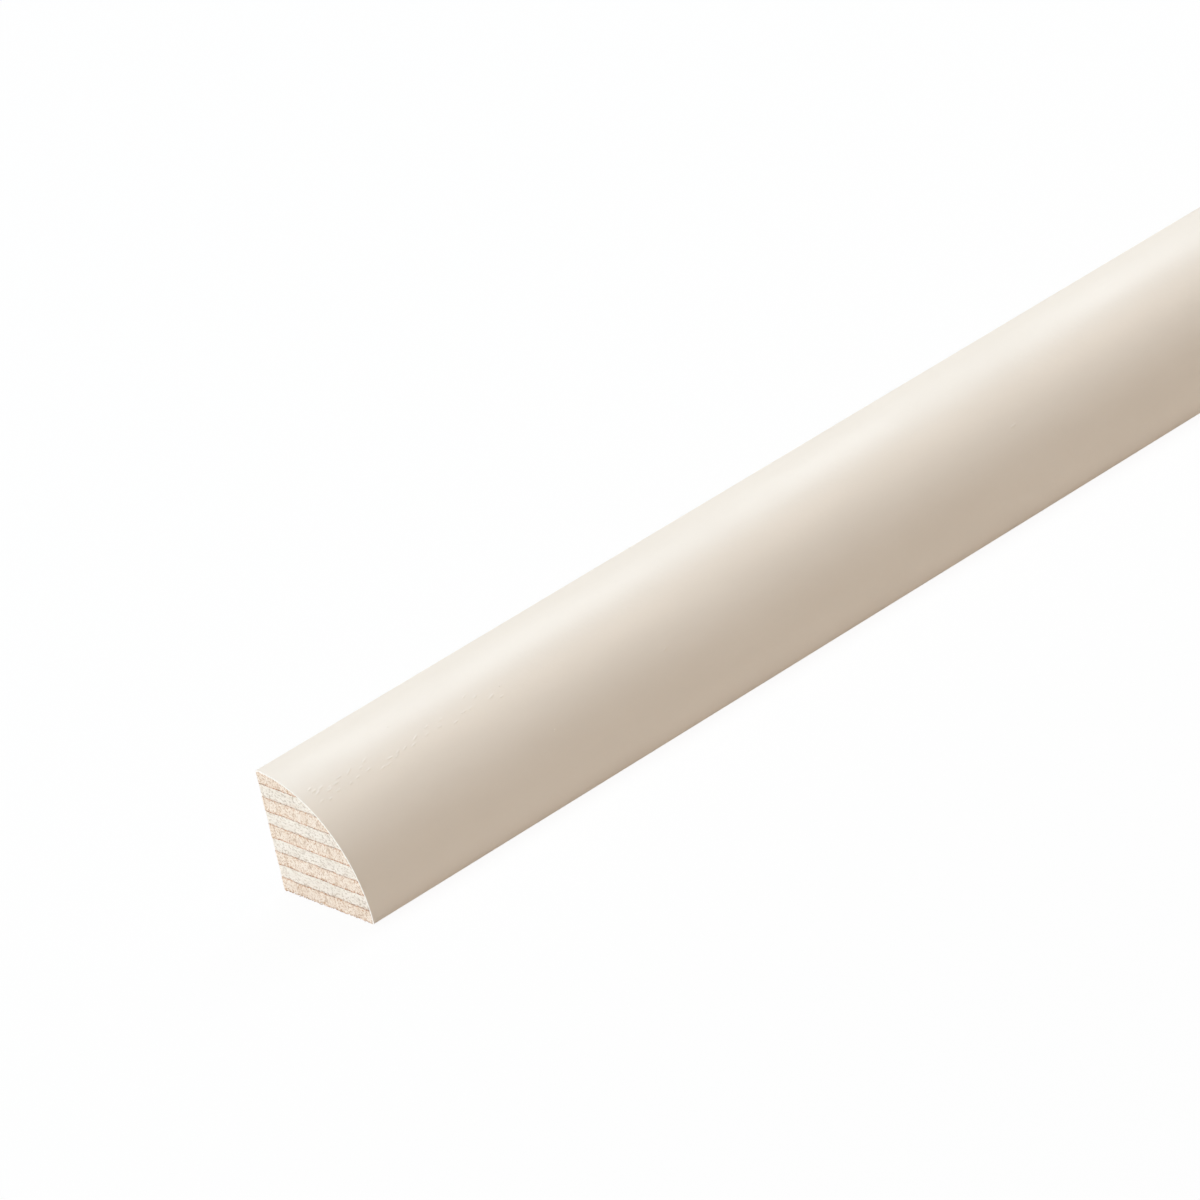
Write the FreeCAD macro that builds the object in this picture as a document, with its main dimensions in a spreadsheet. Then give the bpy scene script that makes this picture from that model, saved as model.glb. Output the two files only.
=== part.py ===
import FreeCAD, Part
import math
import os
import Sketcher

# Quarter round moulding, one stick of stock lying on its floor face
#
# The section is a true quarter circle about the heel, the square corner where the floor
# face meets the wall face. The wood is plywood: plies lie flat on one another, with the
# grain of every other ply turned across the stick. A thin white film is wrapped over the
# curved face and ends let in flush, under the toe and at the crest.
#
# Millimetres. +X runs along the stick, +Y points into the wall, +Z up off the floor, and
# the origin is under the middle of the stick.

# Driving dimensions. The rounds are the wood's own, under the film.
DIMENSIONS = {
    "stick_length": 2400,
    "ply_count": 9,
    "ply_thickness": 2,
    "film_thickness": 0.2,
    "film_glue": 0.05,
    "toe_round": 0.1,
    "crest_round": 0.1,
    "heel_ease": 0.2,
}

# The board is as thick as its plies together, and both legs and the face radius match it
LEG = "(round(Sizes.ply_count) * Sizes.ply_thickness)"
WRAP = "(Sizes.film_thickness + Sizes.film_glue)"

# Points of a sketch element, and the sketch's own origin and horizontal axis
START = 1
END = 2
CENTRE = 3
AXIS = -1
ORIGIN_POINT = (-1, 1)

# Directions from the centres of the rounds to where the film ends
TO_THE_WALL = 0
TO_THE_FLOOR = 3 * math.pi / 2

# Two places closer than this are one
SAME_PLACE = 1e-6

doc = FreeCAD.newDocument("QuarterRoundMoulding")


def make_sheet():
    """The sheet of driving dimensions, one named cell each."""
    sizes = doc.addObject("Spreadsheet::Sheet", "Sizes")
    for row, (name, value) in enumerate(DIMENSIONS.items(), start=1):
        sizes.set(f"A{row}", name)
        sizes.set(f"B{row}", str(value))
        sizes.setAlias(f"B{row}", name)
    doc.recompute()
    return sizes


def round_reach(outer_radius):
    """How far from the heel, along its leg, the centre of a round at the face's end lies."""
    return math.sqrt(leg**2 - 2 * leg * outer_radius)


def round_angle(outer_radius):
    """How far the face swings from its leg before a round of this radius takes over."""
    return math.asin(outer_radius / (leg - outer_radius))


sheet = make_sheet()
ply_total = round(sheet.ply_count)
leg = ply_total * sheet.ply_thickness
half_leg = leg / 2
film = sheet.film_thickness
wrap = film + sheet.film_glue

# Where the face turns into the toe and crest rounds, in the section's own Y and Z
heel = FreeCAD.Vector(half_leg, 0, 0)
toe_outer = sheet.toe_round + wrap
crest_outer = sheet.crest_round + wrap
toe_centre = FreeCAD.Vector(half_leg - round_reach(toe_outer), toe_outer, 0)
crest_centre = FreeCAD.Vector(half_leg - crest_outer, round_reach(crest_outer), 0)
toe_angle = math.pi - round_angle(toe_outer)
crest_angle = math.pi / 2 + round_angle(crest_outer)
toe_foot = FreeCAD.Vector(toe_centre.x, 0, 0)
crest_back = FreeCAD.Vector(half_leg, crest_centre.y, 0)


def toe_inside(inset):
    """The point above the toe's foot, this deep under the outside."""
    return toe_foot + FreeCAD.Vector(0, inset, 0)


def crest_inside(inset):
    """The point in front of the crest's back, this deep under the outside."""
    return crest_back - FreeCAD.Vector(inset, 0, 0)


def arc(centre, radius, start_angle, end_angle):
    """An arc of the section, drawn anticlockwise."""
    circle = Part.Circle(centre, FreeCAD.Vector(0, 0, 1), radius)
    return Part.ArcOfCircle(circle, start_angle, end_angle)


def add_face_arcs(sketch, inset):
    """Adds crest round, face and toe round, tangent in that order, this deep under the outside."""
    crest = sketch.addGeometry(arc(crest_centre, crest_outer - inset, TO_THE_WALL, crest_angle))
    face = sketch.addGeometry(arc(heel, leg - inset, crest_angle, toe_angle))
    toe = sketch.addGeometry(arc(toe_centre, toe_outer - inset, toe_angle, TO_THE_FLOOR))
    sketch.addConstraint(Sketcher.Constraint("Tangent", crest, END, face, START))
    sketch.addConstraint(Sketcher.Constraint("Tangent", face, END, toe, START))
    return crest, face, toe


def add_line(sketch, start, end, direction):
    """Adds a line that stays horizontal or vertical."""
    line = sketch.addGeometry(Part.LineSegment(start, end))
    sketch.addConstraint(Sketcher.Constraint(direction, line))
    return line


def join(sketch, *points):
    """Makes two points of the sketch one."""
    sketch.addConstraint(Sketcher.Constraint("Coincident", *points))


def line_up(sketch, direction, *points):
    """Keeps two points of the sketch level with, or straight above, each other."""
    sketch.addConstraint(Sketcher.Constraint(direction, *points))


def put_on_floor(sketch, *point):
    """Keeps a point of the sketch on the floor plane."""
    sketch.addConstraint(Sketcher.Constraint("PointOnObject", *point, AXIS))


def bind(sketch, name, formula, *dimension):
    """Adds a dimension to the sketch and ties it to the sheet."""
    index = sketch.addConstraint(Sketcher.Constraint(*dimension))
    sketch.renameConstraint(index, name)
    sketch.setExpression(f"Constraints.{name}", formula)


def new_section(body, name):
    """A sketch across the stick: its axes are +Y and +Z."""
    plane = next(item for item in body.Origin.OriginFeatures if item.Role == "YZ_Plane")
    sketch = body.newObject("Sketcher::SketchObject", name)
    sketch.AttachmentSupport = [(plane, "")]
    sketch.MapMode = "FlatFace"
    return sketch


def pad_along_stick(body, sketch, name):
    """Draws a section out to the stick's length, half each way."""
    pad = body.newObject("PartDesign::Pad", name)
    pad.Profile = sketch
    pad.SideType = "Symmetric"
    pad.setExpression("Length", "Sizes.stick_length")
    body.Tip = pad
    doc.recompute()
    return pad


def make_film():
    """The white film: a band of even thickness over the face, with square ends."""
    body = doc.addObject("PartDesign::Body", "FaceFilm")
    body.Label = "face_film"
    sketch = new_section(body, "FilmSection")

    crest, face, toe = add_face_arcs(sketch, 0)
    inner_crest, inner_face, inner_toe = add_face_arcs(sketch, film)
    toe_end = add_line(sketch, toe_foot, toe_inside(film), "Vertical")
    crest_end = add_line(sketch, crest_back, crest_inside(film), "Horizontal")
    join(sketch, toe, END, toe_end, START)
    join(sketch, toe_end, END, inner_toe, END)
    join(sketch, crest, START, crest_end, START)
    join(sketch, crest_end, END, inner_crest, START)
    join(sketch, crest, CENTRE, inner_crest, CENTRE)
    join(sketch, face, CENTRE, inner_face, CENTRE)
    join(sketch, toe, CENTRE, inner_toe, CENTRE)

    put_on_floor(sketch, face, CENTRE)
    put_on_floor(sketch, toe_end, START)
    line_up(sketch, "Vertical", toe, CENTRE, toe_end, START)
    line_up(sketch, "Vertical", crest_end, START, face, CENTRE)
    line_up(sketch, "Horizontal", crest, CENTRE, crest_end, START)
    bind(sketch, "half_leg", f"{LEG} / 2", "DistanceX", *ORIGIN_POINT, face, CENTRE, half_leg)
    bind(sketch, "face_radius", LEG, "Radius", face, leg)
    bind(sketch, "inner_radius", f"{LEG} - Sizes.film_thickness", "Radius", inner_face, leg - film)
    bind(sketch, "toe_radius", f"Sizes.toe_round + {WRAP}", "Radius", toe, toe_outer)
    bind(sketch, "crest_radius", f"Sizes.crest_round + {WRAP}", "Radius", crest, crest_outer)
    pad_along_stick(body, sketch, "FilmLength")
    return body


def heel_edge(shape):
    """The name of the long edge at the heel."""
    middle = FreeCAD.Vector(0, half_leg, 0)
    for number, edge in enumerate(shape.Edges, start=1):
        if edge.CenterOfMass.isEqual(middle, SAME_PLACE):
            return f"Edge{number}"
    raise ValueError("the blank has no edge at its heel")


def make_blank():
    """All the wood in one: the plywood as it leaves the moulder, before the film goes on."""
    body = doc.addObject("PartDesign::Body", "PlywoodBlank")
    sketch = new_section(body, "WoodSection")

    crest, face, toe = add_face_arcs(sketch, wrap)
    toe_step = add_line(sketch, toe_inside(wrap), toe_foot, "Vertical")
    floor_line = add_line(sketch, toe_foot, heel, "Horizontal")
    wall_line = add_line(sketch, heel, crest_back, "Vertical")
    crest_step = add_line(sketch, crest_back, crest_inside(wrap), "Horizontal")
    join(sketch, toe, END, toe_step, START)
    join(sketch, toe_step, END, floor_line, START)
    join(sketch, floor_line, END, wall_line, START)
    join(sketch, wall_line, END, crest_step, START)
    join(sketch, crest_step, END, crest, START)
    join(sketch, face, CENTRE, floor_line, END)

    put_on_floor(sketch, floor_line, START)
    line_up(sketch, "Vertical", toe, CENTRE, toe_step, START)
    line_up(sketch, "Horizontal", crest, CENTRE, crest_step, END)
    bind(sketch, "half_leg", f"{LEG} / 2", "DistanceX", *ORIGIN_POINT, floor_line, END, half_leg)
    bind(sketch, "wood_radius", f"{LEG} - {WRAP}", "Radius", face, leg - wrap)
    bind(sketch, "toe_round", "Sizes.toe_round", "Radius", toe, sheet.toe_round)
    bind(sketch, "crest_round", "Sizes.crest_round", "Radius", crest, sheet.crest_round)
    bind(sketch, "toe_step", WRAP, "DistanceY", toe_step, END, toe_step, START, wrap)
    bind(sketch, "crest_step", WRAP, "DistanceX", crest_step, END, crest_step, START, wrap)
    pad = pad_along_stick(body, sketch, "WoodLength")

    ease = body.newObject("PartDesign::Fillet", "HeelEase")
    ease.Base = (pad, [heel_edge(pad.Shape)])
    ease.setExpression("Radius", "Sizes.heel_ease")
    body.Tip = ease
    doc.recompute()
    return body


def make_ply(blank, number):
    """One ply: the slice of the blank between two glue lines, counted up from the floor."""
    layer = doc.addObject("Part::Box", f"Layer{number}")
    layer.setExpression("Length", "Sizes.stick_length")
    layer.setExpression("Width", LEG)
    layer.setExpression("Height", "Sizes.ply_thickness")
    layer.setExpression("Placement.Base.x", "-Sizes.stick_length / 2")
    layer.setExpression("Placement.Base.y", f"-{LEG} / 2")
    layer.setExpression("Placement.Base.z", f"{number - 1} * Sizes.ply_thickness")
    ply = doc.addObject("Part::Common", f"Ply{number}")
    ply.Base = blank
    ply.Tool = layer
    grain = "long" if number % 2 else "cross"
    ply.Label = f"ply_{number}_{grain}_grain"
    return ply


def check(veneers, wood, cover):
    """Stops if an object failed, a piece isn't one sound solid, or the plies leave wood out."""
    for item in doc.Objects:
        if "Invalid" in item.State or "Error" in item.State:
            raise RuntimeError(f"{item.Name} failed: {item.State}")
    for sketch in doc.findObjects("Sketcher::SketchObject"):
        if not sketch.FullyConstrained:
            raise RuntimeError(f"{sketch.Name} isn't fully constrained")
    for piece in [*veneers, cover]:
        if piece.Shape.isNull() or not piece.Shape.isValid() or len(piece.Shape.Solids) != 1:
            raise RuntimeError(f"{piece.Label} isn't one sound solid")
    sliced = sum(ply.Shape.Volume for ply in veneers)
    if not math.isclose(sliced, wood.Shape.Volume, rel_tol=SAME_PLACE):
        raise RuntimeError("the plies don't add up to the blank")


face_film = make_film()
plywood = make_blank()
plies = [make_ply(plywood, number) for number in range(1, ply_total + 1)]
doc.recompute()
check(plies, plywood, face_film)

os.makedirs("parts", exist_ok=True)
for subpart in [*plies, face_film]:
    subpart.Shape.exportStep(f"parts/{subpart.Label}.step")
    box = subpart.Shape.BoundBox
    print(f"{subpart.Label}: {subpart.Shape.Volume:.1f} mm3, "
          f"Y {box.YMin:.3f} to {box.YMax:.3f}, Z {box.ZMin:.3f} to {box.ZMax:.3f}")
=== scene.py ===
# %% [markdown]
# # A plywood quarter round in its white film
#
# Quarter round is the small trim that covers the joint between a floor and a wall. This stick is sawn
# from plywood, shaped to a quarter circle and wrapped on its round face in a thin white film, so its
# sawn end tells the whole story: nine plies, eight glue lines and the bright edge of the film.
# The construction is packed already. This lesson loads it as a fixed frame and makes the looks around it.

# %% Load the construction
import math
import random

import bmesh
import bpy
from mathutils import Matrix, Vector


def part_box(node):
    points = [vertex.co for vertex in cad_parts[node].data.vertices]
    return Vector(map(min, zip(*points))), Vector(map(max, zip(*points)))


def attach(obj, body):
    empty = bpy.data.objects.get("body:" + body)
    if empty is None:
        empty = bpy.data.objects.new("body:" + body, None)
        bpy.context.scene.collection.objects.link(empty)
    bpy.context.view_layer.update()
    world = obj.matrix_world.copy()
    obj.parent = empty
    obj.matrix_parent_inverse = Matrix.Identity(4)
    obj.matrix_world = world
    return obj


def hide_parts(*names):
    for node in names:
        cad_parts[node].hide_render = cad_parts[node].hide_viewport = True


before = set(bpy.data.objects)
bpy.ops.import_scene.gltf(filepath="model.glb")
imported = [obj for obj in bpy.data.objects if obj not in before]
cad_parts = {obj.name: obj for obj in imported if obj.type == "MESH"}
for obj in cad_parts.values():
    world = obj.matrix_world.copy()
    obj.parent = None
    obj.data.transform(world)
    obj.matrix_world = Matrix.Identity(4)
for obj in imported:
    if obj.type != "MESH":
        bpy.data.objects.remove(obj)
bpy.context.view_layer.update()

# %% [markdown]
# ## Sizes
#
# Every size that the construction already has is read off it: the ply's thickness from the first ply,
# the leg from the number of plies, and the two ends from the film. Only what a box can't tell is written
# here, such as the film's thickness and the small rounds where it turns in at the toe and at the crest.
# Blender works in metres, so a millimetre gets a name.

# %% Read the sizes off the construction
MM = 0.001
FILM = 0.2 * MM
TOE_ROUND = 0.35 * MM
CREST_ROUND = 0.35 * MM
HEEL_EASE = 0.2 * MM

ply_names = sorted(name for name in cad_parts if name.startswith("ply_"))
first_low, first_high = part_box(ply_names[0])
film_low, film_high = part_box("face_film")
PLY = first_high.z - first_low.z
LEG = PLY * len(ply_names)
NEAR_END = film_low.x
FAR_END = film_high.x
LENGTH = FAR_END - NEAR_END
HEEL_Y = film_high.y
FLOOR_Z = film_low.z
print(f"{len(ply_names)} plies of {PLY / MM:.2f} mm, leg {LEG / MM:.2f} mm, length {LENGTH:.3f} m")

# %% [markdown]
# The section is three arcs in a row: a small round at the toe, the long quarter of the face about the
# heel, and another small round at the crest. Neighbouring arcs share a tangent, so the two small centres
# lie on lines from the heel, and Pythagoras gives their places.

# %% Work out the three arcs of the section
ROUND_STEPS = 8
FACE_STEPS = 72
toe_reach = math.sqrt((LEG - TOE_ROUND) ** 2 - TOE_ROUND ** 2)
crest_reach = math.sqrt((LEG - CREST_ROUND) ** 2 - CREST_ROUND ** 2)
HEEL = Vector((0, HEEL_Y, FLOOR_Z))
TOE_CENTRE = Vector((0, HEEL_Y - toe_reach, FLOOR_Z + TOE_ROUND))
CREST_CENTRE = Vector((0, HEEL_Y - CREST_ROUND, FLOOR_Z + crest_reach))
toe_lift = math.asin(TOE_ROUND / (LEG - TOE_ROUND))
crest_lean = math.asin(CREST_ROUND / (LEG - CREST_ROUND))
QUARTER = math.pi / 2
SECTION_ARCS = (
    (TOE_CENTRE, QUARTER + toe_lift, ROUND_STEPS),
    (HEEL, QUARTER - toe_lift - crest_lean, FACE_STEPS),
    (CREST_CENTRE, QUARTER + crest_lean, ROUND_STEPS),
)
print("toe centre", TOE_CENTRE, "crest centre", CREST_CENTRE)

# %% [markdown]
# ## Helpers for working in edit mode
#
# An operator acts on whatever is selected, as it would by hand. `only` leaves one piece selected, `pick`
# chooses vertices, edges or faces by a test on their place or normal, and `turn_up` spins what is picked
# along the section's three arcs, one after the other.

# %% Small helpers
ALONG = Vector((1, 0, 0))
UP = Vector((0, 0, 1))
TINY = 1e-7
FACES_ALONG = 0.9        # a face looks along the stick if its normal's X is beyond this


def only(piece):
    """Leave this piece alone selected and active."""
    bpy.ops.object.select_all(action="DESELECT")
    piece.select_set(True)
    bpy.context.view_layer.objects.active = piece


def edit(piece):
    """Open this piece in edit mode."""
    only(piece)
    bpy.ops.object.mode_set(mode="EDIT")


def done():
    """Leave edit mode."""
    bpy.ops.object.mode_set(mode="OBJECT")


def pick(piece, kind, wanted):
    """Select the vertices, edges or faces that pass the test, and nothing else."""
    bpy.ops.mesh.select_mode(type=kind)
    bpy.ops.mesh.select_all(action="DESELECT")
    mesh = bmesh.from_edit_mesh(piece.data)
    for item in {"VERT": mesh.verts, "EDGE": mesh.edges, "FACE": mesh.faces}[kind]:
        item.select_set(wanted(item))
    mesh.select_flush_mode()
    bmesh.update_edit_mesh(piece.data)


def turn_up():
    """Spin what is selected from the toe, over the face, to the crest."""
    for centre, angle, steps in SECTION_ARCS:
        bpy.ops.mesh.spin(steps=steps, angle=angle, center=centre, axis=ALONG)


def push(offset):
    """Extrude what is selected by an offset."""
    bpy.ops.mesh.extrude_region_move(TRANSFORM_OT_translate={"value": offset})


def name_piece(piece, name):
    """Give a piece and its mesh the same name."""
    piece.name = name
    piece.data.name = name


def triangles(piece):
    """Count the triangles of a mesh."""
    return sum(len(face.vertices) - 2 for face in piece.data.polygons)


def box_of(piece):
    """The lowest and highest corner of a mesh, in millimetres."""
    spots = [vertex.co for vertex in piece.data.vertices]
    low = [round(min(spot[axis] for spot in spots) / MM, 3) for axis in range(3)]
    high = [round(max(spot[axis] for spot in spots) / MM, 3) for axis in range(3)]
    return low, high


print("helpers ready")

# %% [markdown]
# ## The film
#
# The film is a sheet, two tenths of a millimetre thick, that goes once round the curved face and turns in
# under the toe and over the crest. It could be cut from a pipe, but a sheet is simpler to spin: one
# straight edge under the toe, as long as the stick, is spun along the three arcs, and Solidify then gives
# the sheet its thickness inwards, so that the outside keeps its size.

# %% Spin the film from one edge
bpy.ops.object.select_all(action="DESELECT")
SHEET = 1.0
bpy.ops.mesh.primitive_plane_add(size=SHEET)
film = bpy.context.object
name_piece(film, "white_film_wrap")
edit(film)
pick(film, "VERT", lambda vertex: vertex.co.y > 0)
bpy.ops.mesh.delete(type="VERT")
bpy.ops.mesh.select_all(action="SELECT")
bpy.ops.transform.resize(value=(LENGTH / SHEET, 1, 1))
bpy.ops.transform.translate(value=(0, TOE_CENTRE.y + SHEET / 2, FLOOR_Z))
turn_up()
bpy.ops.mesh.select_all(action="SELECT")
bpy.ops.mesh.remove_doubles(threshold=TINY)
bpy.ops.mesh.normals_make_consistent(inside=False)
done()
print("film sheet", box_of(film), triangles(film))

# %% Give the film its thickness
FILM_SMOOTH = math.radians(40)
FACES_UP = 0.5        # a face looks up or down if its normal's Z is beyond this
highest = max(film.data.polygons, key=lambda face: face.center.z * (abs(face.normal.z) > FACES_UP))
thickness = film.modifiers.new("thickness", "SOLIDIFY")
thickness.thickness = FILM
thickness.offset = -1 if highest.normal.z > 0 else 1
thickness.use_even_offset = True
only(film)
bpy.ops.object.modifier_apply(modifier=thickness.name)
bpy.ops.object.shade_smooth_by_angle(angle=FILM_SMOOTH)
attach(film, "root")
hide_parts("face_film")
print("film wall", box_of(film), triangles(film))

# %% [markdown]
# ## The plywood blank
#
# Plywood is made flat and then cut, so the plies are modelled the same way: first one blank with the
# whole section, then nine slices of it. The section starts as a single vertex under the toe. It is pushed
# up by the film's thickness, spun along the inside of the film, pushed out to the wall face and down to
# the heel, and filled. One more push gives it the length of the stick.

# %% Draw the section of the blank and extrude it
bpy.ops.object.select_all(action="DESELECT")
bpy.ops.mesh.primitive_plane_add(size=MM, location=(NEAR_END, TOE_CENTRE.y, FLOOR_Z))
blank = bpy.context.object
name_piece(blank, "plywood_blank")
bpy.ops.object.transform_apply(location=True, rotation=True, scale=True)
edit(blank)
bpy.ops.mesh.select_all(action="SELECT")
bpy.ops.mesh.merge(type="CENTER")
push((0, 0, FILM))
turn_up()
push((0, FILM, 0))
push((0, 0, FLOOR_Z - CREST_CENTRE.z))
bpy.ops.mesh.select_all(action="SELECT")
bpy.ops.mesh.edge_face_add()
push((LENGTH, 0, 0))
bpy.ops.mesh.select_all(action="SELECT")
bpy.ops.mesh.normals_make_consistent(inside=False)
blank_mesh = bmesh.from_edit_mesh(blank.data)
print("blank", len(blank_mesh.verts), "vertices,", len(blank_mesh.faces), "faces")

# %% Ease the heel, where a saw never leaves a perfect corner
HEEL_STEPS = 4


def on_heel(edge):
    """True for the long edge of the heel."""
    return all((v.co - HEEL).yz.length < TINY for v in edge.verts) and edge.calc_length() > LENGTH / 2


pick(blank, "EDGE", on_heel)
bpy.ops.mesh.bevel(offset=HEEL_EASE, segments=HEEL_STEPS, affect="EDGES")
done()
print("blank", box_of(blank), triangles(blank))

# %% [markdown]
# ## Nine plies
#
# Each ply is a copy of the blank that is bisected at its lower and at its upper glue line. The first and the
# last ply have only one. `use_fill` closes each cut, so every ply is a solid of its own, in the place of
# its CAD node.

# %% Slice the blank
def cut_above(plies, **cleared):
    """Cut the open piece level with the top of so many plies, and close the cut."""
    bpy.ops.mesh.select_all(action="SELECT")
    level = (0, 0, FLOOR_Z + PLY * plies)
    bpy.ops.mesh.bisect(plane_co=level, plane_no=UP, use_fill=True, threshold=TINY, **cleared)


def slice_ply(number):
    """One ply, counted from 0 at the floor, as a closed slice of the blank."""
    only(blank)
    bpy.ops.object.duplicate(linked=False)
    piece = bpy.context.object
    name_piece(piece, ply_names[number].replace("grain", "grain_veneer"))
    edit(piece)
    if number > 0:
        cut_above(number, clear_inner=True)
    if number < len(ply_names) - 1:
        cut_above(number + 1, clear_outer=True)
    bpy.ops.mesh.select_all(action="SELECT")
    bpy.ops.mesh.remove_doubles(threshold=TINY)
    bpy.ops.mesh.normals_make_consistent(inside=False)
    done()
    return piece


ply_pieces = [slice_ply(number) for number in range(len(ply_names))]
bpy.data.objects.remove(blank)
for piece in ply_pieces:
    print(piece.name, box_of(piece), triangles(piece))

# %% Tie the plies to the frame
for piece, node in zip(ply_pieces, ply_names):
    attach(piece, "root")
    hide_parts(node)
print("tied", len(ply_pieces), "plies to their nodes")

# %% [markdown]
# ## Sawn ends
#
# A saw leaves nine plies nearly level, not dead level: the cross-grain plies are softer to the blade and
# stand back by a few hundredths of a millimetre. The end faces are picked by their normal and moved in.

# %% Set the ends of the plies back a little
CROSS_SET_BACK = 0.04 * MM
LONG_SET_BACK = 0.01 * MM
LONG_STEPS = 3        # a long-grain ply is set back by none, one or two of its small steps
ENDS = ((NEAR_END, 1), (FAR_END, -1))


def set_back(piece, distance):
    """Move both end faces of a ply inwards."""
    edit(piece)
    for _, inward in ENDS:
        pick(piece, "FACE", lambda face: face.normal.x * inward < -FACES_ALONG)
        bpy.ops.transform.translate(value=(inward * distance, 0, 0))
    done()


for number, piece in enumerate(ply_pieces):
    set_back(piece, CROSS_SET_BACK if "cross" in piece.name else LONG_SET_BACK * (number % LONG_STEPS))
    print(piece.name, box_of(piece)[0])

# %% [markdown]
# Where the blade leaves the wood it breaks fibres out, so the floor edge of a sawn end is ragged. Three
# parallel edges are needed for that: the edge itself, one just above it on the end and one just behind it
# on the floor face. Bisecting makes them, subdividing all three at once fills in a row of small quads,
# and then each point of the middle edge is chipped by its own seeded amount, up and inwards only.

# %% Chip the floor edge of the first ply
CHIP_BELT = 0.5 * MM
CHIP_UP = 0.14 * MM
CHIP_IN = 0.22 * MM
CHIP_CUTS = 120
UP_POWER = 2        # a higher power makes small chips more common
IN_POWER = 3
TOE_MARGIN = 0.3 * MM
HEEL_MARGIN = 0.2 * MM
CHIP_FROM = TOE_CENTRE.y + TOE_MARGIN
CHIP_TO = HEEL_Y - HEEL_EASE - HEEL_MARGIN
SAME_PLACE = 0.05 * MM
chip_draw = random.Random(11)


def near(value, wanted):
    """True where two lengths agree to a twentieth of a millimetre."""
    return abs(value - wanted) < SAME_PLACE


def chip_floor_edge(piece, end_x, inward):
    """Break small chips out of the floor edge at one end of a ply."""
    belt_x = end_x + inward * CHIP_BELT
    belt_z = FLOOR_Z + CHIP_BELT
    edit(piece)
    cuts = (((belt_x, 0, 0), (1, 0, 0)), ((0, 0, belt_z), (0, 0, 1)),
            ((0, CHIP_FROM, 0), (0, 1, 0)), ((0, CHIP_TO, 0), (0, 1, 0)))
    for spot, normal in cuts:
        bpy.ops.mesh.select_all(action="SELECT")
        bpy.ops.mesh.bisect(plane_co=spot, plane_no=normal, threshold=TINY)

    def across(edge):
        """True for the three parallel edges."""
        first, last = sorted(vertex.co.y for vertex in edge.verts)
        x, _, z = (edge.verts[0].co + edge.verts[1].co) / 2
        on_line = near(x, end_x) and (near(z, FLOOR_Z) or near(z, belt_z))
        behind = near(x, belt_x) and near(z, FLOOR_Z)
        return near(first, CHIP_FROM) and near(last, CHIP_TO) and (on_line or behind)

    pick(piece, "EDGE", across)
    bpy.ops.mesh.subdivide(number_cuts=CHIP_CUTS)
    mesh = bmesh.from_edit_mesh(piece.data)
    for vertex in mesh.verts:
        x, y, z = vertex.co
        if near(x, end_x) and near(z, FLOOR_Z) and CHIP_FROM + TINY < y < CHIP_TO - TINY:
            vertex.co.z += CHIP_UP * chip_draw.random() ** UP_POWER
            vertex.co.x += inward * CHIP_IN * chip_draw.random() ** IN_POWER
    bmesh.update_edit_mesh(piece.data)
    done()


for end_x, inward in ENDS:
    chip_floor_edge(ply_pieces[0], end_x, inward)
print(ply_pieces[0].name, box_of(ply_pieces[0]), triangles(ply_pieces[0]))

# %% [markdown]
# Some of the broken fibres stay on as splinters. One splinter is modelled: a tiny rectangle, extruded in
# short steps that shrink and lift, so that it tapers and curls. It is then copied along the edge, each
# copy turned and sized by a seeded draw, and the copies of one end are joined into one piece.

# %% Model one splinter
SPLINTER_WIDE = 0.11 * MM
SPLINTER_THICK = 0.06 * MM
SPLINTER_STEP = 0.13 * MM
SPLINTER_LIFTS = (0.0, 0.02 * MM, 0.05 * MM)
SPLINTER_TAPER = 0.62


def model_splinter():
    """A short curling sliver that points along -X from the origin."""
    bpy.ops.object.select_all(action="DESELECT")
    bpy.ops.mesh.primitive_plane_add(size=1.0, rotation=(0, QUARTER, 0))
    splinter = bpy.context.object
    splinter.scale = (SPLINTER_THICK, SPLINTER_WIDE, 1)
    bpy.ops.object.transform_apply(location=True, rotation=True, scale=True)
    edit(splinter)
    bpy.ops.mesh.select_all(action="SELECT")
    tip = Vector((0, 0, 0))
    for lift in SPLINTER_LIFTS:
        move = Vector((-SPLINTER_STEP, 0, lift))
        push(move)
        tip += move
        bpy.ops.transform.resize(value=(1, SPLINTER_TAPER, SPLINTER_TAPER), center_override=tip)
    bpy.ops.mesh.select_all(action="SELECT")
    bpy.ops.mesh.normals_make_consistent(inside=False)
    done()
    return splinter


def copy_to(source, place):
    """A copy of a piece with its own mesh, set in place by a matrix that is then applied."""
    only(source)
    bpy.ops.object.duplicate(linked=False)
    copied = bpy.context.object
    copied.matrix_world = place
    bpy.ops.object.transform_apply(location=True, rotation=True, scale=True)
    return copied


def join_as(pieces, name):
    """Join pieces into one."""
    only(pieces[0])
    for piece in pieces:
        piece.select_set(True)
    bpy.ops.object.join()
    name_piece(pieces[0], name)
    return pieces[0]


splinter = model_splinter()
print("splinter", box_of(splinter), triangles(splinter))

# %% Scatter the splinters along both floor edges
SPLINTERS_PER_END = 40
SPLINTER_RISE = (0.04, 0.16)
SPLINTER_TURN = (-65, 65)
SPLINTER_PITCH = (-6, 24)
SPLINTER_SIZE = (0.4, 1.0)
SPLINTER_INSET = CHIP_IN / 3
HALF_TURN = 180
splinter_draw = random.Random(5)


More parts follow.
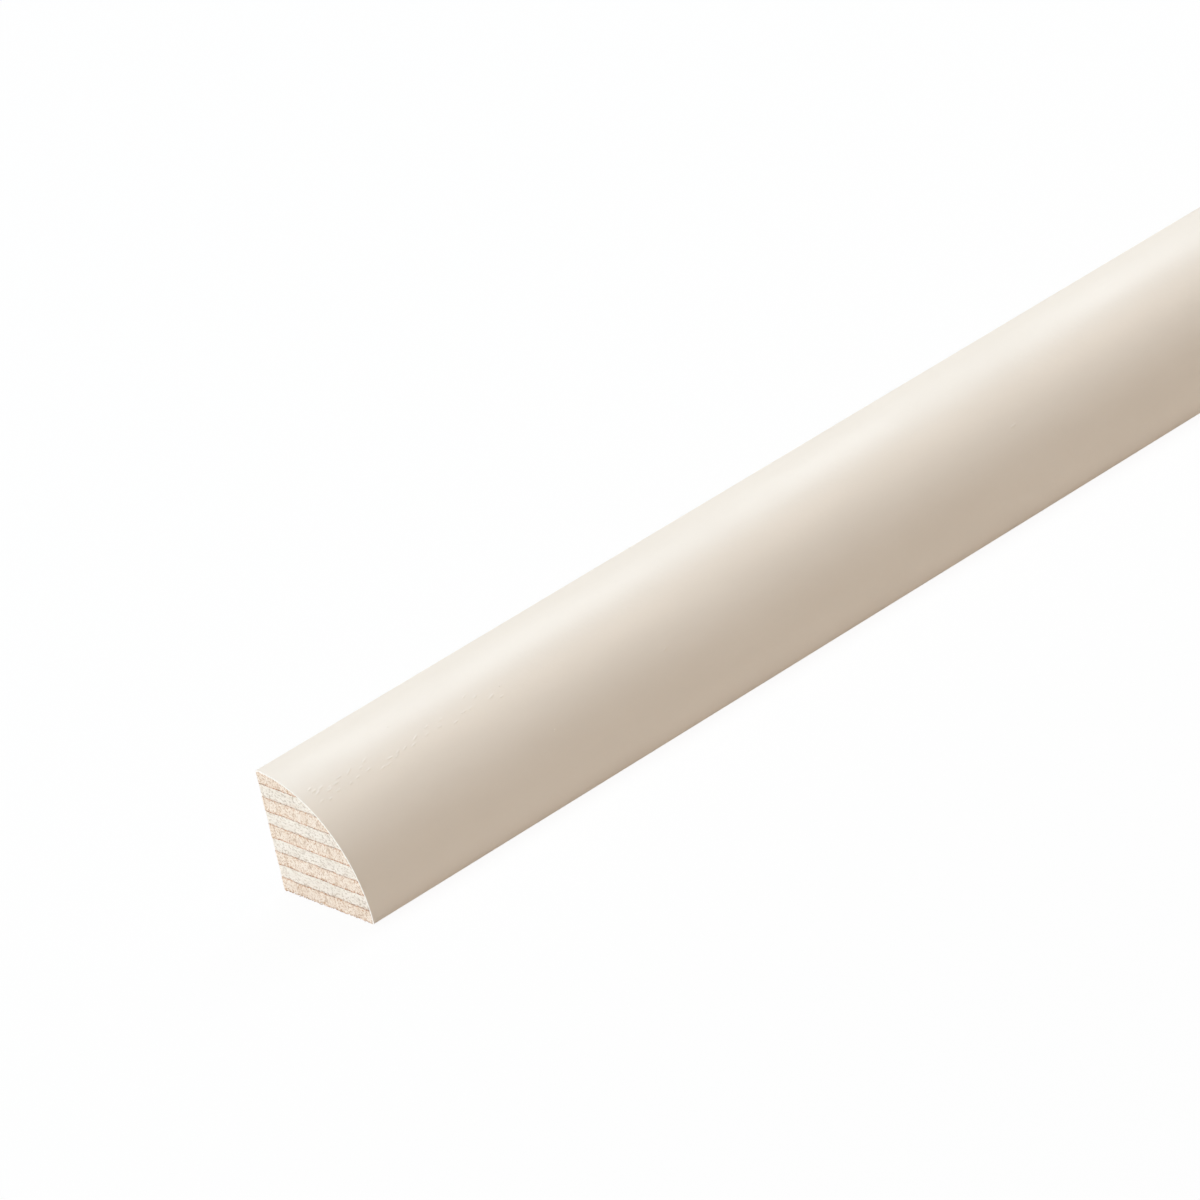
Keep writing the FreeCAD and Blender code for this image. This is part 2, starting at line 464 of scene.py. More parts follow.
def splinter_place(end_x, inward):
    """Where one splinter grows out of the chipped edge, and how it is turned and sized."""
    y = splinter_draw.uniform(CHIP_FROM, CHIP_TO)
    z = FLOOR_Z + splinter_draw.uniform(*SPLINTER_RISE) * MM
    turn = splinter_draw.uniform(*SPLINTER_TURN) + (0 if inward > 0 else HALF_TURN)
    pitch = splinter_draw.uniform(*SPLINTER_PITCH)
    size = splinter_draw.uniform(*SPLINTER_SIZE)
    place = Matrix.Translation((end_x + inward * SPLINTER_INSET, y, z))
    place @= Matrix.Rotation(math.radians(turn), 4, "Z")
    place @= Matrix.Rotation(math.radians(pitch), 4, "Y")
    return place @ Matrix.Scale(size, 4)


torn_fibres = []
for (end_x, inward), end_name in zip(ENDS, ("near", "far")):
    copies = [copy_to(splinter, splinter_place(end_x, inward)) for _ in range(SPLINTERS_PER_END)]
    torn_fibres.append(join_as(copies, f"torn_fibres_{end_name}"))
bpy.data.objects.remove(splinter)
for piece in torn_fibres:
    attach(piece, "root")
    print(piece.name, box_of(piece), triangles(piece))

# %% [markdown]
# ## Grain that shows through the film
#
# The film is thin, so a raised fibre or a grain of dust under it lifts a small smooth ridge. They show
# only where the light grazes. Bump could fake them, but a hundred real ridges are cheap: one is the low
# cap of a sphere with a root that stays buried in the film. It is copied to places that are given along
# the stick and round the face, and stretched along the stick. Each copy leans a little off the grain, as
# a torn fibre does, and tilts up the face, so that it catches the light from above and has a thin dark
# lower side. The ridges crowd near the first sawn end, where the saw has lifted the fibres, and a few
# round nibs stand for dust. Angles are in degrees, and those round the face count up from the floor.

# %% Model one ridge
CAP_LEVEL = 0.8
CAP_ROOT = 0.2
CAP_SEGMENTS = 16
CAP_RINGS = 20
RIDGE_TILT = 9


def model_ridge():
    """A low cap, 1 long, 1 wide and 1 high above the level of the film, with a root below it."""
    bpy.ops.object.select_all(action="DESELECT")
    bpy.ops.mesh.primitive_uv_sphere_add(segments=CAP_SEGMENTS, ring_count=CAP_RINGS, radius=1.0)
    ridge = bpy.context.object
    edit(ridge)
    bpy.ops.mesh.select_all(action="SELECT")
    bpy.ops.mesh.bisect(plane_co=(0, 0, CAP_ROOT), plane_no=UP, use_fill=True, clear_inner=True)
    bpy.ops.mesh.select_all(action="SELECT")
    bpy.ops.transform.translate(value=(0, 0, -CAP_LEVEL))
    flat = 0.5 / math.sqrt(1 - CAP_LEVEL ** 2)
    bpy.ops.transform.resize(value=(flat, flat, 1 / (1 - CAP_LEVEL)), center_override=(0, 0, 0))
    done()
    return ridge


def face_place(along, around, long, wide, high, lean=0.0):
    """The matrix that sets a ridge on the film, along the stick, up the face and leaning off the grain."""
    angle = math.radians(around)
    outwards = Vector((0, -math.cos(angle), math.sin(angle)))
    spot = HEEL + outwards * LEG + ALONG * (NEAR_END + along)
    axes = Matrix((ALONG, outwards.cross(ALONG), outwards)).transposed().to_4x4()
    tilted = Matrix.Rotation(math.radians(-RIDGE_TILT), 4, "X")
    turned = Matrix.Rotation(math.radians(lean), 4, "Z") @ tilted
    return Matrix.Translation(spot) @ axes @ turned @ Matrix.Diagonal((long, wide, high, 1))


ridge = model_ridge()
print("ridge", triangles(ridge))

# %% Scatter the ridges over the film
RIDGE_LONG = (0.6 * MM, 1.2 * MM)
RIDGE_WIDE = (0.28 * MM, 0.42 * MM)
RIDGE_HIGH = (0.018 * MM, 0.036 * MM)
RIDGE_LEAN = (0, 26)
RIDGE_SMOOTH = math.radians(50)
NIB_WIDE = 0.34 * MM
NIB_HIGH = 0.06 * MM
NIBS = ((17.5 * MM, 70.7), (34.0 * MM, 59.5), (36.5 * MM, 31.0))
END_RIDGES = 36
END_START = 2.0 * MM
END_REACH = 32 * MM
END_CROWDING = 1.6
END_BAND = (58.5, 2.8)
OTHER_RIDGES = 60
OTHER_BAND = (12, 84)
ridge_draw = random.Random(23)


def ridge_place(along, around):
    """A ridge of a drawn size at a place on the face."""
    sizes = [ridge_draw.uniform(*limits) for limits in (RIDGE_LONG, RIDGE_WIDE, RIDGE_HIGH)]
    return face_place(along, around, *sizes, ridge_draw.uniform(*RIDGE_LEAN))


places = [face_place(along, around, NIB_WIDE, NIB_WIDE, NIB_HIGH) for along, around in NIBS]
for number in range(END_RIDGES):
    share = (number + ridge_draw.random()) / END_RIDGES
    along = END_START + END_REACH * share ** END_CROWDING
    places.append(ridge_place(along, ridge_draw.gauss(*END_BAND)))
for _ in range(OTHER_RIDGES):
    along = ridge_draw.uniform(END_REACH, LENGTH - END_REACH)
    places.append(ridge_place(along, ridge_draw.uniform(*OTHER_BAND)))
raised_grain = join_as([copy_to(ridge, place) for place in places], "raised_grain")
bpy.data.objects.remove(ridge)
only(raised_grain)
bpy.ops.object.shade_smooth_by_angle(angle=RIDGE_SMOOTH)
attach(raised_grain, "root")
print(raised_grain.name, box_of(raised_grain), triangles(raised_grain))

# %% [markdown]
# ## Maps for the plies and the film
#
# When a finish is baked into a picture, a plain unwrap would give a 2.4 m ply almost no pixels for its
# 2 mm ends, and the ends are what people look at. So each ply brings its own map: both ends get the
# largest fields, then the wall edge and the floor side, and the glued sides share what is left. The film
# brings one too, with its front and top in the largest fields and room for its thin cut edges. Each face
# goes to the field of the side that it faces, flattened along that side. A side is an axis and a sign, and
# a field is its left, bottom, right and top in the map.

# %% Lay out the maps
MAP_NAME = "OFBake"
X, Y, Z = range(3)
PLY_FIELDS = {
    (X, -1): (0.01, 0.01, 0.49, 0.40),
    (X, 1): (0.51, 0.01, 0.99, 0.40),
    (Y, 1): (0.01, 0.43, 0.99, 0.66),
    (Z, -1): (0.01, 0.69, 0.99, 0.86),
    (Z, 1): (0.01, 0.88, 0.99, 0.92),
    (Y, -1): (0.01, 0.94, 0.99, 0.98),
}
FILM_FIELDS = {
    (Y, -1): (0.01, 0.01, 0.99, 0.36),
    (Z, 1): (0.01, 0.38, 0.99, 0.73),
    (X, -1): (0.01, 0.75, 0.24, 0.98),
    (X, 1): (0.26, 0.75, 0.49, 0.98),
    (Y, 1): (0.51, 0.75, 0.99, 0.86),
    (Z, -1): (0.51, 0.88, 0.99, 0.98),
}


def lay_out(piece, fields):
    """Write the map: each face into the field of the side it faces."""
    layer = piece.data.uv_layers.new(name=MAP_NAME)
    spots = [vertex.co for vertex in piece.data.vertices]
    low = [min(spot[axis] for spot in spots) for axis in range(3)]
    high = [max(spot[axis] for spot in spots) for axis in range(3)]
    for face in piece.data.polygons:
        axis = max(range(3), key=lambda number: abs(face.normal[number]))
        left, bottom, right, top = fields[(axis, 1 if face.normal[axis] > 0 else -1)]
        across, up = [number for number in range(3) if number != axis]
        for corner in face.loop_indices:
            spot = spots[piece.data.loops[corner].vertex_index]
            u = (spot[across] - low[across]) / (high[across] - low[across])
            v = (spot[up] - low[up]) / (high[up] - low[up])
            layer.data[corner].uv = (left + u * (right - left), bottom + v * (top - bottom))


for piece in ply_pieces:
    lay_out(piece, PLY_FIELDS)
lay_out(film, FILM_FIELDS)
print("mapped", len(ply_pieces), "plies and the film")

# %% [markdown]
# ## Shader nodes in short
#
# A node tree is long to write out link by link. `add` puts a node in a tree, links what is given as a
# socket and sets what is given as a value. The small functions after it are the few nodes that the
# finishes need again and again.

# %% Node helpers
def add(tree, kind, inputs=None, **settings):
    """Add a shader node; an input that is a socket is linked, any other is set."""
    made = tree.nodes.new("ShaderNode" + kind)
    for name, value in settings.items():
        setattr(made, name, value)
    for name, value in (inputs or {}).items():
        if isinstance(value, bpy.types.NodeSocket):
            tree.links.new(value, made.inputs[name])
        else:
            made.inputs[name].default_value = value
    return made


def calc(tree, operation, *values):
    """One Math node."""
    return add(tree, "Math", dict(enumerate(values)), operation=operation).outputs[0]


def stretch(tree, value, start, end, low=0.0, high=1.0):
    """Fade smoothly from low to high as a value goes from start to end."""
    limits = {"Value": value, "From Min": start, "From Max": end, "To Min": low, "To Max": high}
    return add(tree, "MapRange", limits, interpolation_type="SMOOTHSTEP").outputs["Result"]


def scaled(tree, vector, scale, turn=0.0):
    """Scale a vector, after an optional turn about Z."""
    if turn:
        vector = add(tree, "Mapping", {"Vector": vector, "Rotation": (0, 0, turn)}).outputs[0]
    return add(tree, "Mapping", {"Vector": vector, "Scale": scale}).outputs[0]


def noise(tree, vector, scale, detail=2.0, roughness=0.5):
    """Noise from 0 to 1, about 0.5 on average, with its own scale on each axis."""
    inputs = {"Vector": scaled(tree, vector, scale), "Scale": 1.0, "Detail": detail, "Roughness": roughness}
    return add(tree, "TexNoise", inputs).outputs["Fac"]


def pattern(tree, vector, grain, fade):
    """Noise with named settings, faded between the limits of a fade."""
    return stretch(tree, noise(tree, vector, **grain), *fade)


def blend(tree, share, first, second):
    """Mix two colours."""
    return add(tree, "Mix", {0: share, 6: first, 7: second}, data_type="RGBA").outputs[2]


def new_group(name, outputs):
    """An empty node group that takes a vector in millimetres and puts out values."""
    group = bpy.data.node_groups.new(name, "ShaderNodeTree")
    group.interface.new_socket("Vector", in_out="INPUT", socket_type="NodeSocketVector")
    for output in outputs:
        group.interface.new_socket(output, in_out="OUTPUT", socket_type="NodeSocketFloat")
    start = group.nodes.new("NodeGroupInput")
    end = group.nodes.new("NodeGroupOutput")
    return group, start.outputs["Vector"], end


def use_group(tree, group, vector):
    """Place a node group in a tree."""
    made = tree.nodes.new("ShaderNodeGroup")
    made.node_tree = group
    tree.links.new(vector, made.inputs["Vector"])
    return made.outputs


def new_material(name):
    """A material with an empty Principled BSDF, and its coordinates in millimetres."""
    material = bpy.data.materials.new(name)
    material.use_nodes = True
    tree = material.node_tree
    place = add(tree, "TexCoord").outputs["Object"]
    millimetres = scaled(tree, place, (1 / MM, 1 / MM, 1 / MM))
    return material, tree, tree.nodes["Principled BSDF"], millimetres


print("node helpers ready")

# %% [markdown]
# ## Glue lines
#
# The glue between two plies is about 0.15 mm of brown resin, pressed a little wavy. All plies share the
# pattern, so it is a node group: the distance to the nearest glue line, from the height alone, with a
# slow wave and a fine ragged one added, faded to a thin line and broken up along its length. Every second
# line, under a long-grain ply, is strong, and the others are fainter. One more line along the floor edge,
# a little weaker, is partly the dark fibres that the saw leaves there and partly painted shade where the
# end meets the floor. The second output fades out from the line into the ply, for the resin that soaked
# in. The third drifts along the line, because the resin is dark brown where it is thick and orange where
# it is thin. Lengths are in millimetres, a noise's scale is in turns per millimetre, and a fade goes from
# its first number to its second, rising from 0 to 1 unless it names two shares of its own.

# %% The glue line group
GLUE_PARTS = ("Line", "Beside", "Thin")
PLY_MM = PLY / MM
NOISE_MIDDLE = 0.5
WAVE_SCALE = (0.32, 0.32, 0.32)
WAVE_HIGH = 0.36
RAGGED_SCALE = (2.8, 2.8, 2.8)
RAGGED_HIGH = 0.22
LINE_FADE = (0.02, 0.13, 1.0, 0.0)
BREAKS = dict(scale=(1.6, 1.6, 0.6), detail=4.0, roughness=0.65)
BREAKS_FADE = (0.36, 0.58, 0.32, 1.0)
MID_PLY = (0.4 * PLY_MM, 0.6 * PLY_MM)
FAINT_SHARE = 0.75
# Strength of the dark line along the floor edge: partly dark fibres, partly painted shade where the end
# meets the floor.
FLOOR_LINE_SHADE_SHARE = 0.80
BESIDE_FADE = (0.0, 0.40 * PLY_MM, 1.0, 0.0)
THIN = dict(scale=(0.7, 0.7, 0.3), detail=2.0)
THIN_FADE = (0.42, 0.60)

glue_group, glue_vector, glue_end = new_group("glue_line", GLUE_PARTS)
tree = glue_group
height = add(tree, "SeparateXYZ", {"Vector": glue_vector}).outputs["Z"]
wave = calc(tree, "SUBTRACT", noise(tree, glue_vector, WAVE_SCALE), NOISE_MIDDLE)
ragged = calc(tree, "SUBTRACT", noise(tree, glue_vector, RAGGED_SCALE), NOISE_MIDDLE)
ragged_height = calc(tree, "MULTIPLY_ADD", ragged, RAGGED_HIGH, height)
wavy_height = calc(tree, "MULTIPLY_ADD", wave, WAVE_HIGH, ragged_height)
gap = calc(tree, "PINGPONG", wavy_height, PLY_MM / 2)
broken = pattern(tree, glue_vector, BREAKS, BREAKS_FADE)
kind = calc(tree, "PINGPONG", height, PLY_MM)
strength = stretch(tree, kind, *MID_PLY, 1.0, FAINT_SHARE)
# The floor-edge line is partly painted contact shade.
floor_line_shade = stretch(tree, height, *MID_PLY, FLOOR_LINE_SHADE_SHARE, 1.0)
line = stretch(tree, gap, *LINE_FADE)
for share in (broken, strength, floor_line_shade):
    line = calc(tree, "MULTIPLY", line, share)
beside = stretch(tree, gap, *BESIDE_FADE)
thin = pattern(tree, glue_vector, THIN, THIN_FADE)
for name, value in zip(GLUE_PARTS, (line, beside, thin)):
    tree.links.new(value, glue_end.inputs[name])
print("glue line group", len(tree.nodes), "nodes")

# %% [markdown]
# ## Veneer
#
# Wood is a bundle of long cells, so one solid pattern serves all its faces: noise that is stretched along
# the grain shows as streaks on a face along the grain and as dots on a face across it.

# %% The veneer figure group
FIGURE_PARTS = ("Tone", "Streak", "SpecksAndShade", "Pores", "Checks")
TONE = dict(scale=(0.006, 0.80, 0.30), detail=2.0)
TONE_FADE = (0.34, 0.66)
STREAKS = dict(scale=(0.25, 2.8, 2.8), detail=4.0, roughness=0.65)
STREAKS_FADE = (0.36, 0.64)
# Torn specks: partly the wood's own stipple, partly painted shade of the rough torn fibres on a sawn end.
TORN_SHADE = dict(scale=(2.4, 3.4, 3.4), detail=2.0, roughness=0.6)
TORN_SHADE_FADE = (0.50, 0.62)
ROUGH_PATCH = dict(scale=(0.02, 0.45, 0.35), detail=2.0)
ROUGH_FADE = (0.38, 0.60, 0.5, 1.0)
PORE_SCALE = (0.5, 2.9, 2.9)
PORE_FADE = (0.14, 0.36, 1.0, 0.0)
CHECK_SCALE = (0.02, 0.75, 0.20)
CHECK_FADE = (0.0, 0.07, 1.0, 0.0)
OPENED = dict(scale=(0.05, 0.6, 0.8))
OPENED_FADE = (0.45, 0.62)

figure_group, grain_vector, figure_end = new_group("veneer_figure", FIGURE_PARTS)
tree = figure_group


def cells(scale, **settings):
    """The distance that a Voronoi pattern gives in the figure group."""
    inputs = {"Vector": scaled(tree, grain_vector, scale), "Scale": 1.0}
    return add(tree, "TexVoronoi", inputs, **settings).outputs["Distance"]


tone = pattern(tree, grain_vector, TONE, TONE_FADE)
streak = pattern(tree, grain_vector, STREAKS, STREAKS_FADE)
# The specks are partly painted shade of torn fibres.
torn_shade = pattern(tree, grain_vector, TORN_SHADE, TORN_SHADE_FADE)
specks_and_shade = calc(tree, "MULTIPLY", torn_shade, pattern(tree, grain_vector, ROUGH_PATCH, ROUGH_FADE))
pores = stretch(tree, cells(PORE_SCALE), *PORE_FADE)
cracks = stretch(tree, cells(CHECK_SCALE, feature="DISTANCE_TO_EDGE"), *CHECK_FADE)
checks = calc(tree, "MULTIPLY", cracks, pattern(tree, grain_vector, OPENED, OPENED_FADE))
for name, value in zip(FIGURE_PARTS, (tone, streak, specks_and_shade, pores, checks)):
    tree.links.new(value, figure_end.inputs[name])
print("veneer figure group", len(tree.nodes), "nodes")

# %% [markdown]
# A face across the grain is darker, because its open cells swallow light, and it shows the checks. A face
# along the grain is paler and quieter. The long-grain plies show end grain on the sawn ends and side
# grain on the wall edge, and the cross-grain plies the other way round. That makes four finishes from
# one function. Each lays the marks over the wood one by one, each with its own share and colour: specks
# that are partly the wood's stipple and partly painted shade of its torn fibres, pores and checks in a
# brown that is partly painted shade in the open pores and cracks, resin beside the glue, and the glue
# line itself. The splinters are a fifth, darker finish.

# %% The veneer finishes
GLUE_BROWN = (0.28, 0.115, 0.042, 1)
GLUE_ORANGE = (0.52, 0.225, 0.08, 1)
RESIN_ORANGE = (0.60, 0.34, 0.18, 1)
# The brown of pores and checks is partly painted shade in the open pores and cracks.
PORE_AND_CRACK_SHADE = (0.50, 0.34, 0.22, 1)
TAN_LIGHT = (0.94, 0.86, 0.765, 1)
TAN_DARK = (0.83, 0.71, 0.59, 1)
PALE_LIGHT = (0.925, 0.88, 0.805, 1)
PALE_DARK = (0.83, 0.775, 0.69, 1)
TORN_LIGHT = (0.66, 0.53, 0.40, 1)
TORN_DARK = (0.36, 0.25, 0.17, 1)
# The dark of the specks is partly painted shade of the torn fibres.
SPECK_SHADE_GREY = (0.54, 0.47, 0.39, 1)
SPECK_SHADE_TAN = (0.54, 0.37, 0.24, 1)
GLUE_SHARE = 1.0
VENEER_BUMP = 0.35
VENEER_RELIEF = 0.03 * MM
VENEER_ROUGH = (0.0, 1.0, 0.82, 0.70)


def veneer(name, light, dark, shares, speck_shade_colour, turn=0.0):
    """A veneer face; turn brings the grain from X to another axis."""
    material, tree, shader, millimetres = new_material(name)
    along_grain = scaled(tree, millimetres, (1, 1, 1), turn)
    figure = use_group(tree, figure_group, along_grain)
    glue = use_group(tree, glue_group, millimetres)
    parts = {0: shares["tone"], 2: figure["Streak"], 3: figure["Tone"]}
    mixed = add(tree, "Mix", parts, data_type="FLOAT").outputs[0]
    colour = blend(tree, mixed, dark, light)
    spots = calc(tree, "MAXIMUM", figure["SpecksAndShade"], figure["Pores"])
    resin = calc(tree, "MULTIPLY", spots, glue["Beside"])
    glue_colour = blend(tree, glue["Thin"], GLUE_BROWN, GLUE_ORANGE)
    # Specks, pores and checks are partly painted shade: of torn fibres, and in open pores and cracks.
    marks = (
        (figure["SpecksAndShade"], shares["specks_and_shade"], speck_shade_colour),
        (figure["Pores"], shares["pores"], PORE_AND_CRACK_SHADE),
        (figure["Checks"], shares["checks"], PORE_AND_CRACK_SHADE),
        (resin, shares["resin"], RESIN_ORANGE),
        (glue["Line"], GLUE_SHARE, glue_colour),
    )
    for mask, share, mark_colour in marks:
        colour = blend(tree, calc(tree, "MULTIPLY", mask, share), colour, mark_colour)
    tree.links.new(colour, shader.inputs["Base Color"])
    sunk = calc(tree, "ADD", figure["Pores"], calc(tree, "ADD", figure["Checks"], glue["Line"]))
    relief = calc(tree, "SUBTRACT", figure["Streak"], sunk)
    bump = add(tree, "Bump", {"Strength": VENEER_BUMP, "Distance": VENEER_RELIEF, "Height": relief})
    tree.links.new(bump.outputs["Normal"], shader.inputs["Normal"])
    tree.links.new(stretch(tree, figure["Streak"], *VENEER_ROUGH), shader.inputs["Roughness"])
    return material


SIDE_SHARES = dict(tone=0.30, specks_and_shade=0.84, pores=0.20, checks=0.0, resin=0.15)
END_SHARES = dict(tone=0.55, specks_and_shade=0.90, pores=0.50, checks=0.65, resin=0.80)
SIDE_GRAIN = dict(light=PALE_LIGHT, dark=PALE_DARK, shares=SIDE_SHARES, speck_shade_colour=SPECK_SHADE_GREY)
END_GRAIN = dict(light=TAN_LIGHT, dark=TAN_DARK, shares=END_SHARES, speck_shade_colour=SPECK_SHADE_TAN)
TORN_GRAIN = dict(light=TORN_LIGHT, dark=TORN_DARK, shares=END_SHARES, speck_shade_colour=SPECK_SHADE_TAN)
finishes = {
    ("long", "end"): veneer("long_ply_end_grain", **END_GRAIN),
    ("long", "side"): veneer("long_ply_side_grain", **SIDE_GRAIN),
    ("cross", "end"): veneer("cross_ply_end_grain", **END_GRAIN, turn=QUARTER),
    ("cross", "side"): veneer("cross_ply_side_grain", **SIDE_GRAIN, turn=QUARTER),
}
torn_finish = veneer("torn_fibre", **TORN_GRAIN)
print("veneer finishes", [finish.name for finish in finishes.values()])

# %% Give each face of each ply its finish
FACES_GRAIN = 0.7        # a face is end grain if its normal along the grain is beyond this
for piece in ply_pieces:
    grain = "long" if "long" in piece.name else "cross"
    end_axis = X if grain == "long" else Y
    piece.data.materials.append(finishes[(grain, "side")])
    piece.data.materials.append(finishes[(grain, "end")])
    for face in piece.data.polygons:
        face.material_index = 1 if abs(face.normal[end_axis]) > FACES_GRAIN else 0
for piece in torn_fibres:
    piece.data.materials.append(torn_finish)
print("ply faces finished")

# %% [markdown]
# ## Film finish
#
# The film is a warm white with a satin face. On a closer look its colour is a little uneven, and the
# grain behind it and its own faint orange peel ripple the gloss. The ripple is a bump of a few hundredths
# of a millimetre at most, so it shows only along the edge of the highlight.

# %% The film finish
FILM_WHITE = (0.882, 0.810, 0.725, 1)
FILM_SHADE = (0.862, 0.790, 0.705, 1)
FILM_GLOSS = 0.82
FILM_ROUGH = (0.0, 1.0, 0.44, 0.40)
FILM_BUMP = 0.5
FILM_RELIEF = 0.05 * MM
CLOUD = dict(scale=(0.05, 0.16, 0.16), detail=3.0)
CLOUD_FADE = (0.30, 0.70)
FIBRES = dict(scale=(0.45, 2.4, 2.4), detail=3.0)
FIBRE_SHARE = 0.4
PEEL = dict(scale=(0.9, 1.1, 1.1), detail=2.0)
PEEL_SHARE = 0.6
film_finish, tree, shader, millimetres = new_material("satin_white_film")
cloud = pattern(tree, millimetres, CLOUD, CLOUD_FADE)
tree.links.new(blend(tree, cloud, FILM_SHADE, FILM_WHITE), shader.inputs["Base Color"])
peel = calc(tree, "MULTIPLY", noise(tree, millimetres, **PEEL), PEEL_SHARE)
ripple = calc(tree, "MULTIPLY_ADD", noise(tree, millimetres, **FIBRES), FIBRE_SHARE, peel)
bump = add(tree, "Bump", {"Strength": FILM_BUMP, "Distance": FILM_RELIEF, "Height": ripple})
tree.links.new(bump.outputs["Normal"], shader.inputs["Normal"])
tree.links.new(stretch(tree, cloud, *FILM_ROUGH), shader.inputs["Roughness"])
shader.inputs["Specular IOR Level"].default_value = FILM_GLOSS
for piece in (film, raised_grain):
    piece.data.materials.append(film_finish)
print("film finish", len(tree.nodes), "nodes")

# %% [markdown]
# Where it is cut the film gets a whiter, dull finish: the extra white over the film's colour is a painted
# highlight. On the sawn ends that is the bright line round the arc, so the faces that look along the stick
# get a finish of their own.

# %% The cut edge of the film
# Both edge colours are whiter than the film: a painted highlight on the cut edge.
EDGE_HIGHLIGHT_WHITE = (0.98, 0.97, 0.93, 1)
EDGE_HIGHLIGHT_DIM = (0.93, 0.91, 0.86, 1)
EDGE_ROUGH = (0.0, 1.0, 0.75, 0.60)
SCUFFS = dict(scale=(2.0, 2.0, 2.0), detail=2.0)
SCUFFS_FADE = (0.35, 0.65)
edge_highlight_finish, tree, shader, millimetres = new_material("film_cut_edge_highlight")
scuffs = pattern(tree, millimetres, SCUFFS, SCUFFS_FADE)
tree.links.new(blend(tree, scuffs, EDGE_HIGHLIGHT_DIM, EDGE_HIGHLIGHT_WHITE), shader.inputs["Base Color"])
tree.links.new(stretch(tree, scuffs, *EDGE_ROUGH), shader.inputs["Roughness"])
film.data.materials.append(edge_highlight_finish)
for face in film.data.polygons:
    if abs(face.normal.x) > FACES_ALONG:
        face.material_index = 1
print("film edge", sum(face.material_index for face in film.data.polygons), "faces")

# %% [markdown]
# ## Floor and backdrop
#
# The stick lies on a plain pale floor before a white backdrop. The floor is matte and warm, so that it
# throws warm light back up at the toe. For the camera, and in reflections, it is white: most of that is a
# plain glow, which keeps the backdrop white without putting more light on the stick, and the rest is a
# matte white, which keeps the shadow. The world does the same: it is white where it is seen, and lights
# the stick faintly and a little warmly from all sides.

# %% Floor
FLOOR_SIZE = 60.0
FLOOR_DROP = 0.02 * MM
FLOOR_BOUNCE = (0.93, 0.83, 0.72, 1)
FLOOR_WHITE = (0.96, 0.96, 0.96, 1)
WHITE_SHARE = 0.92


def seen_directly(tree):
    """1 for camera, reflection and glass rays, and 0 for the rays that carry light."""
    rays = add(tree, "LightPath").outputs
    mirrored = calc(tree, "MAXIMUM", rays["Is Glossy Ray"], rays["Is Transmission Ray"])
    return calc(tree, "MAXIMUM", rays["Is Camera Ray"], mirrored)


bpy.ops.object.select_all(action="DESELECT")
bpy.ops.mesh.primitive_plane_add(size=FLOOR_SIZE, location=(0, 0, FLOOR_Z - FLOOR_DROP))
floor = bpy.context.object
name_piece(floor, "pale_floor")
floor_finish = bpy.data.materials.new("pale_floor")
floor_finish.use_nodes = True
tree = floor_finish.node_tree
tree.nodes.clear()
seen = seen_directly(tree)
matte = add(tree, "BsdfDiffuse", {"Color": blend(tree, seen, FLOOR_BOUNCE, FLOOR_WHITE)})
glow = add(tree, "Emission", {"Strength": 1.0})
glow_share = calc(tree, "MULTIPLY", seen, WHITE_SHARE)
floor_mix = add(tree, "MixShader", {0: glow_share, 1: matte.outputs[0], 2: glow.outputs[0]})
add(tree, "OutputMaterial", {"Surface": floor_mix.outputs[0]})
floor.data.materials.append(floor_finish)
print("floor ready")

# %% World
AMBIENT = 0.133
AMBIENT_WARM = (1.0, 0.926, 0.868, 1)
BACKDROP_WHITE = (1, 1, 1, 1)
world = bpy.data.worlds.new("studio")
bpy.context.scene.world = world
world.use_nodes = True
tree = world.node_tree
tree.nodes.clear()
ambient = add(tree, "Background", {"Color": AMBIENT_WARM, "Strength": AMBIENT})
backdrop = add(tree, "Background", {"Color": BACKDROP_WHITE, "Strength": 1.0})
world_mix = add(tree, "MixShader", {0: seen_directly(tree), 1: ambient.outputs[0], 2: backdrop.outputs[0]})
add(tree, "OutputWorld", {"Surface": world_mix.outputs[0]})
print("world ready")

# %% [markdown]
# ## Light
#
# Two long soft boxes hang over the stick, parallel to it, a weak one a little before it and a strong,
# wider one a little behind. They light the upper half of the face and leave most of the front to the light
# that comes back from the floor, so the round reads as round. A small soft box off each end lights the
# sawn ends, with a narrow spread so that it leaves the floor alone. The weak box is warm, as the floor is,
# so the shaded front turns warmer than the top. The strong one and the end ones are cool, which balances
# that, so that white and the wood's colours render about as written. Each overhead box has a name, an angle
# up from the floor before the stick, a width in metres, its watts and its colour.

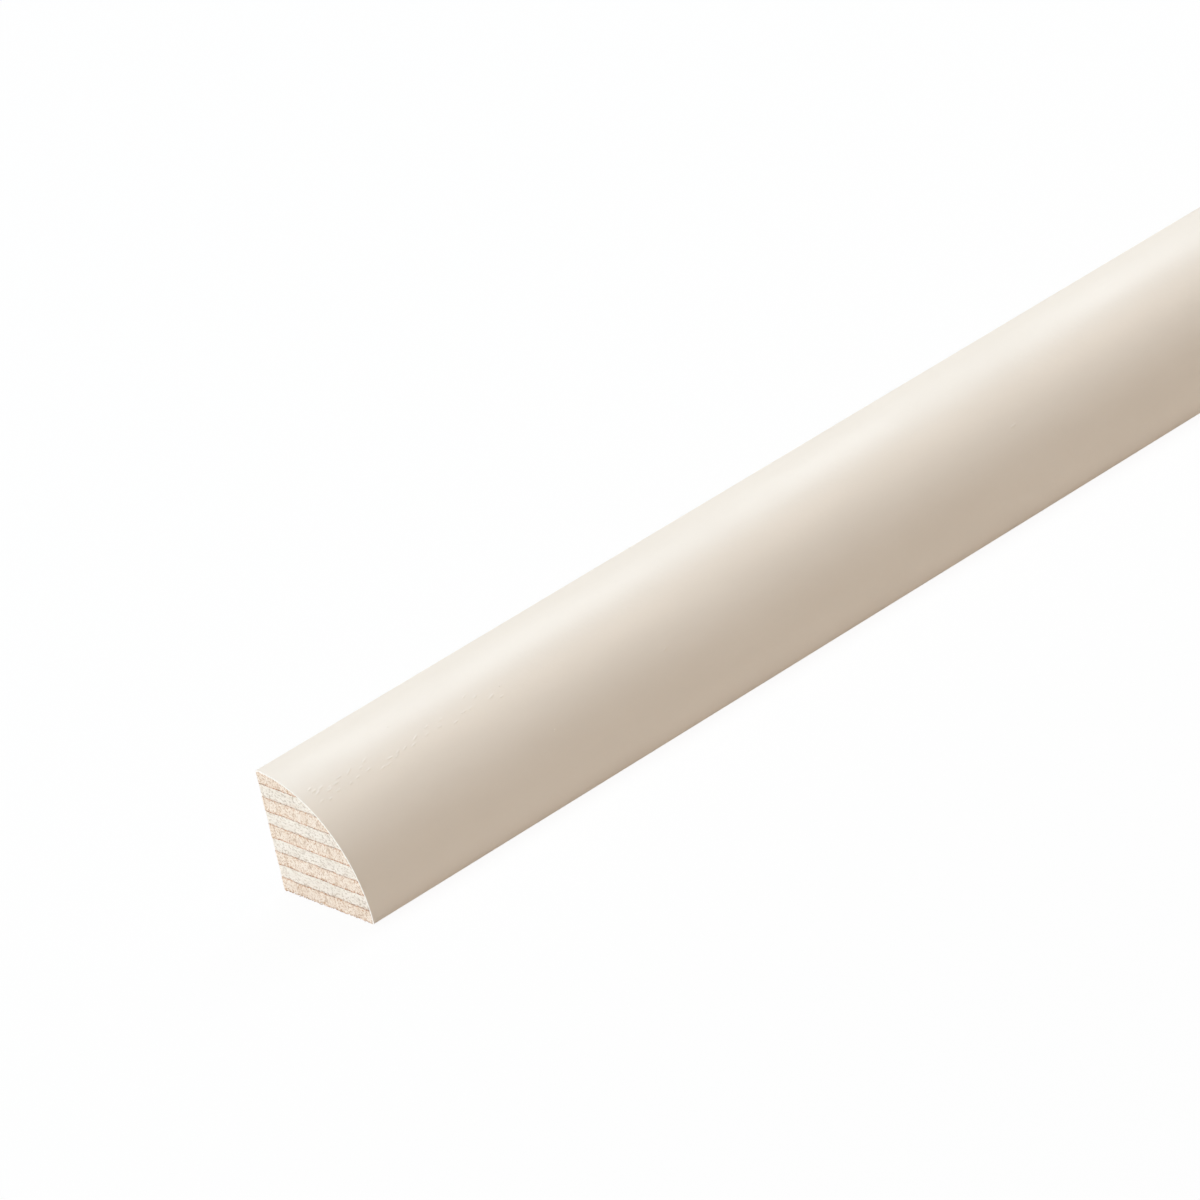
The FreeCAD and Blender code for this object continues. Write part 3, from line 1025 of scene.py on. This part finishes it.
# %% Soft boxes
def soft_box(name, spot, aim, size, watts, colour):
    """A rectangular area lamp at a spot, turned to an aim, that the camera doesn't see."""
    bpy.ops.object.light_add(type="AREA", location=spot)
    lamp = bpy.context.object
    lamp.name = name
    lamp.data.shape = "RECTANGLE"
    lamp.data.size, lamp.data.size_y = size
    lamp.data.energy = watts
    lamp.data.color = colour
    lamp.rotation_euler = (Vector(aim) - Vector(spot)).to_track_quat("-Z", "Y").to_euler()
    lamp.visible_camera = False
    return lamp


BOX_REACH = 1.0
BOX_LONG = 4.4
WARM_WHITE = (1.0, 0.795, 0.593)
COOL_WHITE = (0.803, 0.918, 1.0)
OVERHEAD = (("box_before", 76, 0.2, 7.5, WARM_WHITE), ("box_behind", 112, 0.4, 21.6, COOL_WHITE))
END_BOX_SIZE = (0.6, 0.2)
END_BOX_REACH = 0.9
END_BOX_HEIGHT = 0.12
END_BOX_WATTS = 0.74
END_BOX_SPREAD = 70
END_WHITE = (0.82, 0.90, 1.0)
for name, angle, wide, watts, colour in OVERHEAD:
    way = Vector((0, -math.cos(math.radians(angle)), math.sin(math.radians(angle))))
    soft_box(name, HEEL + way * BOX_REACH, HEEL, (BOX_LONG, wide), watts, colour)
for end_x, inward in ENDS:
    spot = (end_x - inward * END_BOX_REACH, 0, END_BOX_HEIGHT)
    lamp = soft_box("box_end", spot, (end_x, 0, LEG / 2), END_BOX_SIZE, END_BOX_WATTS, END_WHITE)
    lamp.data.spread = math.radians(END_BOX_SPREAD)

# %% [markdown]
# ## Camera
#
# The photograph was taken through a long lens from about a metre, with the camera rolled, so the stick
# climbs to the right. The spot, the aim, the roll and the lens come from matching the edges of the stick.

# %% Camera
CAMERA_SPOT = Vector((-1.6749, -0.7038, 0.4565))
CAMERA_AIM = Vector((-1.13626, 0.01436, 0.00983))
CAMERA_ROLL = math.radians(-12.50)
CAMERA_LENS = 225.4
bpy.ops.object.camera_add(location=CAMERA_SPOT)
camera = bpy.context.object
level = (CAMERA_AIM - CAMERA_SPOT).to_track_quat("-Z", "Y").to_matrix()
camera.rotation_euler = (level @ Matrix.Rotation(CAMERA_ROLL, 3, "Z")).to_euler()
camera.data.lens = CAMERA_LENS
bpy.context.scene.camera = camera
bpy.context.scene.view_settings.view_transform = "Standard"
print("camera at", tuple(CAMERA_SPOT))
